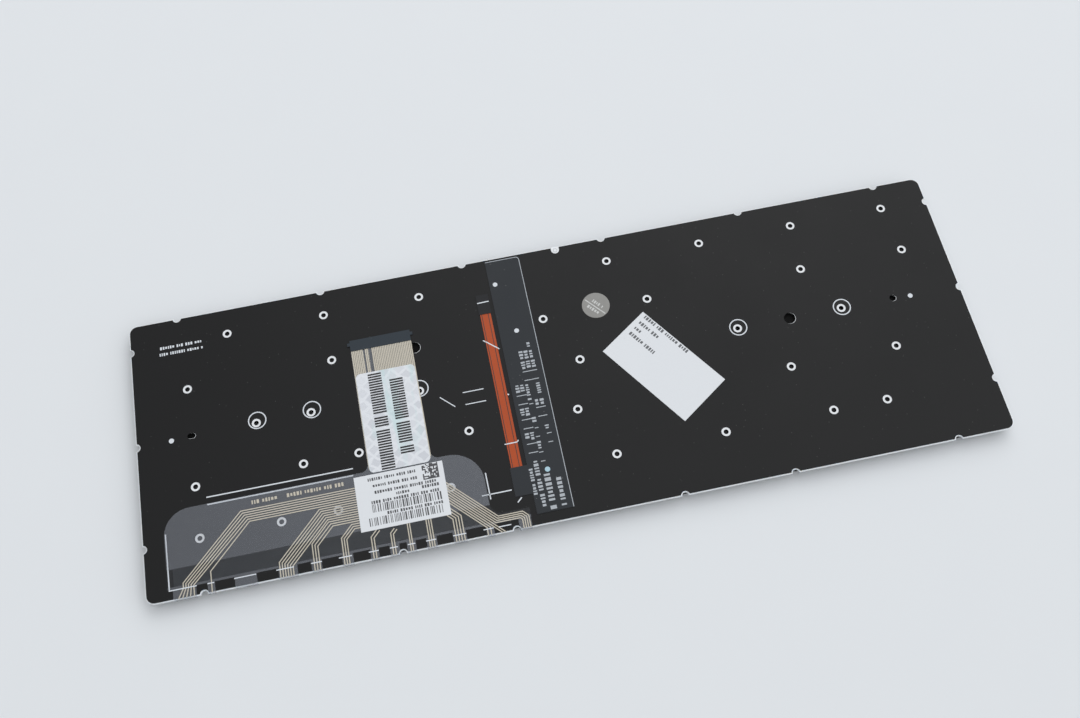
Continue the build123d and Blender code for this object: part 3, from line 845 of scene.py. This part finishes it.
# Conductors: silver ink printed on the membrane in bundles, each of which crosses one fold tab.
# They fan out over the flap at 45 degrees and go under the labels to the tail.
flap_top, fold_y = 5.15, -50.7
trace_width = 0.35
silver_ink = finish(
    "silver_ink", (182, 175, 160), (202, 195, 181), 5000, 150, (0.4, 0.55), 0.006, Metallic=0.15
)


def fan(start_x, start_y, pitch_y, bend_x, pitch_bend, drop_x, pitch_drop, count):
    """A bundle that runs level, turns 45 degrees down at bend_x, and drops straight at drop_x."""
    bundle = []
    for step in range(count):
        y, bend, drop = start_y - pitch_y * step, bend_x + pitch_bend * step, drop_x + pitch_drop * step
        bundle.append(((start_x, y), (bend, y), (drop, y - abs(bend - drop)), (drop, fold_y)))
    return bundle


under_label = -72.0
pitch, first_y = 0.813, -25.55
traces = []
for step in range(5):
    y, x = first_y - pitch * step, -135.0 + 0.84 * step
    level = ((under_label, y), (-114.3 + 0.52 * step, y))
    traces.append((*level, (x, -45.8 - 0.33 * step), (x, -47.55), (x - 1.8 + 0.45 * step, fold_y)))
traces += fan(under_label, first_y - 5 * pitch, pitch, -111.7, 0, -125.85, 0, 1)
traces += fan(under_label, first_y - 6 * pitch, pitch, -88.4, 0.46, -103.45, 0.86, 6)
traces += fan(under_label, first_y - 12 * pitch, pitch, -85.9, 0.62, -92.2, 0.9, 3)
traces += fan(under_label, first_y - 15 * pitch, pitch, -78.5, 0.4, -82.4, 0.83, 3)
for places, lean in (
    ((-72.75, -71.85), 2.2),
    ((-66.25, -65.4), 1.4),
    ((-60.4, -59.65), 0),
    ((-54.1, -53.3, -52.5), 0),
):
    for step, x in enumerate(places):
        turn = -43.3 - 0.5 * step
        top = ((x + lean, turn + lean),) if lean else ((x, -40.0),)
        traces.append((*top, (x, turn), (x, fold_y)))
for step, x in enumerate((-45.3, -44.35, -43.4, -42.45)):
    turn = -42.9 + 0.25 * step
    traces.append(((x - 3.0, turn + 3.0), (x, turn), (x, fold_y)))
diagonal_x, diagonal_y, diagonal_pitch = -47.0, -28.35, 1.05
for step in range(4):
    y, level = diagonal_y - diagonal_pitch * step, -44.95 - 0.68 * step
    turn, drop = -22.15 - 0.38 * step, -20.45 - 0.75 * step
    slant = ((diagonal_x, y), (diagonal_x + y - level, level))
    traces.append((*slant, (turn, level), (drop, level - (drop - turn)), (drop, fold_y)))
for step in (4, 5):
    y = diagonal_y - diagonal_pitch * step
    traces.append(((diagonal_x, y), (diagonal_x + y - fold_y, fold_y)))
for step, drop in ((6, -33.6), (7, -34.7)):
    y = diagonal_y - diagonal_pitch * step
    traces.append(((diagonal_x, y), (drop, y - (drop - diagonal_x)), (drop, fold_y)))
conductors = [(trace, trace_width) for trace in traces]
print_on("flap_conductors", conductors, flap_top, silver_ink, "circuit_film")

# Ink on the flap: a white dash across each fold tab, which marks the fold line.
# Two rows of plain dashes in silver ink are along the rear edge.
fold_dash_width, flap_word_height = 0.36, 1.35
fold_line_x, fold_line_y, fold_line_slope = -80, -48.1, 0.0103
dash_spans = [(-139.8, -130.7), (-127.2, -125.0), (-118.5, -111.3), (-104.7, -98.9), (-93.3, -89.7)]
dash_spans += [(-84.1, -79.8), (-74.2, -70.9), (-67.2, -64.6), (-61.3, -58.8), (-55.2, -51.8)]
dash_spans += [(-46.2, -41.8), (-36.0, -32.6), (-30.9, -26.7)]
fold_dashes = []
for left, right in dash_spans:
    y = fold_line_y - fold_line_slope * ((left + right) / 2 - fold_line_x)
    fold_dashes.append((((left, y), (right, y)), fold_dash_width))
print_on("fold_dashes", fold_dashes, flap_top + ink_thick, white_ink, "white_film")
flap_words = dash_row(-110.4, -23.3, 8.5, flap_word_height)
flap_words += dash_row(-98.5, -23.3, 19.5, flap_word_height)
print_on("flap_dashes", flap_words, flap_top, silver_ink, "circuit_film")

# Tail of the membrane: contact strips in silver ink over a duller ground, with a blue stiffener at the
# end that slides into the connector. Ground and contacts leave two gaps, which show dark.
tail_left, tail_right, tail_front, tail_rear = -70.4, -48.8, -20.6, 28.7
tail_pitch, contact_width = 0.6, 0.44
gap_places = ((-65.75, 0.26), (-63.65, 0.48))
ground_spans = ((tail_left + 0.05, -66.0), (-65.5, -64.13), (-63.17, tail_right - 0.05))
ground_front, ground_rear, ground_sunk, ground_thick = tail_front + 0.4, tail_rear - 0.05, 0.112, 0.01
contact_front, contact_rear, first_contact = tail_front + 1.0, tail_rear - 0.2, tail_left + 0.35
contacts = []
count = int((tail_right - tail_left - 0.4) / tail_pitch)
for step in range(count + 1):
    x = first_contact + tail_pitch * step
    if all(abs(x - gap) > half for gap, half in gap_places):
        contacts.append((((x, contact_front), (x, contact_rear)), contact_width))
print_on("tail_contacts", contacts, flap_top, silver_ink, "circuit_film")
ground = []
for left, right in ground_spans:
    middle = (left + right) / 2
    ground.append((((middle, ground_front), (middle, ground_rear)), right - left))
backing = laid_lines("tail_backing", ground, flap_top - ground_sunk, ground_thick)
tail_shade = finish("tail_shade", (118, 112, 101), (132, 126, 114), 3000, 80, (0.4, 0.55), 0.005)
dress(backing, tail_shade, "circuit_film", "chassis")
blue_board = finish(
    "blue_board", (33, 42, 50), (41, 51, 60), 2500, 60, (0.35, 0.5), 0.008, Specular_IOR_Level=0.3
)
coat("membrane_tail_stiffener", blue_board)

# Seal on the tail: a silvery polyester label, die cut with rounded corners and stuck over the contacts.
# Its foil shows pale diamonds between white bands. A faint green is painted in streaks where it catches the
# light, as a painted reflection.
# Two rows of dark dashes are printed along it.
foil_corner = 1.6
seal_dash_half, seal_dash_width, seal_pitch, seal_space = 2.35, 0.62, 0.97, 1.05
foil_low, foil_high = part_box("foil_label")
foil = block("foil_seal", [c / mm for c in foil_low], [c / mm for c in foil_high])
rounded(foil, upright(foil), foil_corner, 6)
smooth(foil, 25)
foil_film = finish(
    "foil_film", (212, 215, 221), (226, 229, 234), 700, 60, (0.3, 0.44), 0.008, Metallic=0.08
)
foil_tree = foil_film.node_tree


def tinted(first, other, factor):
    """A colour with another one mixed in by a factor."""
    node = add_mix(foil_tree, B=other)
    wire(foil_tree, (first, node.inputs["A"]), (factor, node.inputs["Factor"]))
    return node.outputs["Result"]


where = add_node(foil_tree, "TexCoord")
lattice = add_node(foil_tree, "Mapping", Rotation=(0, 0, math.radians(48)), Scale=(262, 300, 260))
squares = add_node(
    foil_tree,
    "TexBrick",
    Color1=(0.15, 0.15, 0.15, 1),
    Color2=(0.9, 0.9, 0.9, 1),
    Mortar=(0, 0, 0, 1),
    Scale=1,
    Mortar_Size=0.17,
    Mortar_Smooth=0.5,
    Brick_Width=1,
    Row_Height=1,
)
squares.offset = 0.0
# Painted reflection: a faint green glint mixed into the foil's colour in soft streaks.
glint_lay = add_node(foil_tree, "Mapping", Rotation=(0, 0, math.radians(9)), Scale=(230, 55, 100))
glint_noise = add_node(foil_tree, "TexNoise", Scale=1.0, Detail=3)
glint_share = add_node(foil_tree, "MapRange", From_Min=0.52, From_Max=0.68, To_Max=0.7)
ripple = add_node(foil_tree, "TexNoise", Scale=260.0, Detail=1)
ripple_size = add_node(foil_tree, "VectorMath", "SCALE", Scale=0.55)
rippled = add_node(foil_tree, "VectorMath", "ADD")
pattern_and_glint = tinted(foil_tree.nodes["wear"].outputs["Colour"], screen(198, 201, 208), squares.outputs["Color"])
pattern_and_glint = tinted(pattern_and_glint, screen(192, 216, 218), glint_share.outputs["Result"])
wire(
    foil_tree,
    (where.outputs["Object"], lattice.inputs["Vector"]),
    (where.outputs["Object"], ripple.inputs["Vector"]),
    (ripple.outputs["Color"], ripple_size.inputs[0]),
    (lattice.outputs["Vector"], rippled.inputs[0]),
    (ripple_size.outputs["Vector"], rippled.inputs[1]),
    (rippled.outputs["Vector"], squares.inputs["Vector"]),
    (where.outputs["Object"], glint_lay.inputs["Vector"]),
    (glint_lay.outputs["Vector"], glint_noise.inputs["Vector"]),
    (glint_noise.outputs["Fac"], glint_share.inputs["Value"]),
    (pattern_and_glint, foil_tree.nodes["Principled BSDF"].inputs["Base Color"]),
)
dress(foil, foil_film, "foil", "chassis", "foil_label")
seal_black = finish("seal_black", (22, 22, 24), (33, 33, 36), 5000, 200, (0.5, 0.6), 0.004)
seal_words = []
for x, y, words in ((-63.5, 14.2, (16, 4, 15)), (-56.3, 10.8, (16, 8, 3))):
    for word in words:
        for step in range(word):
            seal_words.append((((x - seal_dash_half, y), (x + seal_dash_half, y)), seal_dash_width))
            y -= seal_pitch
        y -= seal_space
print_on("seal_dashes", seal_words, foil_high.z / mm, seal_black, "foil")

# Part label: satin paper with thermal print, stuck across the flap and the tail.
# Two rows of bars, a square of dots and rows of plain dashes are printed on it.
bar_height, label_row_height = 2.8, 1.05
square, square_cells, square_filled = 0.42, 13, 0.62
square_x, square_y = 23.1, 13.85
paper = finish("label_paper", (214, 217, 222), (224, 227, 231), 2600, 60, (0.5, 0.65), 0.012)
coat("part_label", paper)
thermal_black = finish("thermal_black", (62, 62, 66), (78, 78, 82), 5000, 200, (0.5, 0.6), 0.004)
label_low, label_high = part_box("part_label")
label_left, label_front = label_low.x / mm, label_low.y / mm
label_top = label_high.z / mm
bar_draw = random.Random(5)
label_marks = []
for x, y, reach in ((3.2, 1.35, 28.3), (4.8, 5.9, 28.4)):
    while x < reach:
        wide = bar_draw.choice((0.2, 0.2, 0.34, 0.5))
        middle = label_left + x + wide / 2
        label_marks.append((((middle, label_front + y), (middle, label_front + y + bar_height)), wide))
        x += wide + bar_draw.choice((0.27, 0.27, 0.45, 0.65))
for y, start, reach in (
    (4.95, 9.5, 18.8),
    (9.4, 4.8, 22.6),
    (11.0, 13.4, 4.6),
    (11.4, 22.2, 5.4),
    (12.75, 6.3, 21.4),
    (15.05, 6.0, 15.2),
    (17.45, 4.6, 16.8),
):
    label_marks += dash_row(label_left + start, label_front + y, reach, label_row_height)
for column in range(square_cells):
    for row in range(square_cells):
        if column == square_cells - 1 or row == 0 or bar_draw.random() < square_filled:
            x, y = label_left + square_x + column * square, label_front + square_y + row * square
            label_marks.append((((x, y), (x + square, y)), square))
print_on("part_label_print", label_marks, label_top, thermal_black, "label_paper")

# Shelf label: a plain satin paper label, stuck on the film at a slant by whoever stocked the part.
# Four rows of plain grey dashes are printed on it.
coat("price_label", paper)
paper_top = 5.05
price_turn, price_row_height = math.radians(-55.3), 1.35
along = (math.cos(price_turn), math.sin(price_turn))
price_marks = []
for x, y, reach in ((34.35, 16.1, 20.0), (32.0, 14.4, 8.4), (29.9, 12.7, 2.6), (27.7, 11.1, 11.2)):
    price_marks += dash_row(x, y, reach, price_row_height, along)
print_grey = finish("print_grey", (84, 86, 90), (104, 106, 110), 5000, 200, (0.5, 0.6), 0.004)
print_on("price_label_print", price_marks, paper_top, print_grey, "label_paper")

# Inspection sticker: a small round of silver paper, pressed on by hand.
# A light band and two rows of light dashes are printed across it.
sticker_x, sticker_y, sticker_radius, sticker_thick, sticker_edge = 18.3, 24.2, 5.0, 0.1, 0.03
sticker_row_height, sticker_along = 1.2, (0.66, -0.75)
bpy.ops.mesh.primitive_cylinder_add(
    vertices=64,
    radius=sticker_radius * mm,
    depth=sticker_thick * mm,
    location=(sticker_x * mm, sticker_y * mm, (paper_top - sticker_thick / 2) * mm),
)
sticker = settle("inspection_sticker")
rounded(sticker, at_level(sticker, paper_top), sticker_edge, 1)
smooth(sticker, 30)
silver_paper = finish(
    "silver_paper", (122, 121, 119), (142, 141, 138), 900, 150, (0.35, 0.5), 0.012, Metallic=0.3
)
dress(sticker, silver_paper, "sticker_grey", "chassis", "round_sticker")
sticker_lines = [(((15.0, 27.1), (20.9, 20.3)), 0.4)]
for x, y, reach in ((17.6, 26.3, 4.6), (15.4, 24.6, 4.2)):
    sticker_lines += dash_row(x, y, reach, sticker_row_height, sticker_along)
light_silver = finish("light_silver", (186, 187, 186), (200, 201, 200), 3000, 200, (0.4, 0.5), 0.004)
print_on("sticker_print", sticker_lines, paper_top, light_silver, "sticker_grey")

# Table, light and camera: a pale matt table, one broad soft lamp behind it and an open sky,
# and the camera where the photograph was taken from.
bpy.ops.mesh.primitive_plane_add(size=4)
table = settle("table")
table_paint = finish("table_paint", (222, 225, 229), (225, 228, 231), 40, 2, (0.75, 0.85), 0.0, dust=0.0)
table.data.materials.append(table_paint)

scene = bpy.context.scene
scene.view_settings.view_transform = "Standard"
world = bpy.data.worlds.new("even_sky")
scene.world = world
world.use_nodes = True
sky_tree = world.node_tree
sky = sky_tree.nodes["Background"]
sky.inputs["Color"].default_value = (0.975, 0.99, 1.0, 1)
facing, parts = add_node(sky_tree, "TexCoord"), add_node(sky_tree, "SeparateXYZ")
slope = add_node(sky_tree, "MapRange", From_Min=-1, To_Min=0.1, To_Max=1.66)
height = add_node(sky_tree, "MapRange", To_Min=0.45, To_Max=1.3)
share = add_math(sky_tree, "MULTIPLY")
wire(
    sky_tree,
    (facing.outputs["Generated"], parts.inputs[0]),
    (parts.outputs["X"], slope.inputs["Value"]),
    (parts.outputs["Z"], height.inputs["Value"]),
    (slope.outputs["Result"], share.inputs[0]),
    (height.outputs["Result"], share.inputs[1]),
    (share.outputs[0], sky.inputs["Strength"]),
)
bpy.ops.object.light_add(type="AREA", location=(0.35, 1.05, 1.0))
lamp = bpy.context.object
lamp.data.shape = "DISK"
lamp.data.size = 1.3
lamp.data.energy = 4
lamp.rotation_euler = (-lamp.location).to_track_quat("-Z", "Y").to_euler()

right = Vector((0.97946943, -0.20040584, -0.02184387))
up = Vector((0.19235208, 0.8966391, 0.39879693))
back = Vector((-0.06033516, -0.39481111, 0.91677906))
camera_place = Matrix.Translation((-0.029126, -0.146972, 0.364435))
bpy.ops.object.camera_add()
camera = bpy.context.object
camera.data.sensor_width = 36
camera.data.lens = 37.1804
camera.data.clip_start, camera.data.clip_end = 0.01, 20
camera.matrix_world = camera_place @ Matrix((right, up, back)).transposed().to_4x4()
scene.camera = camera
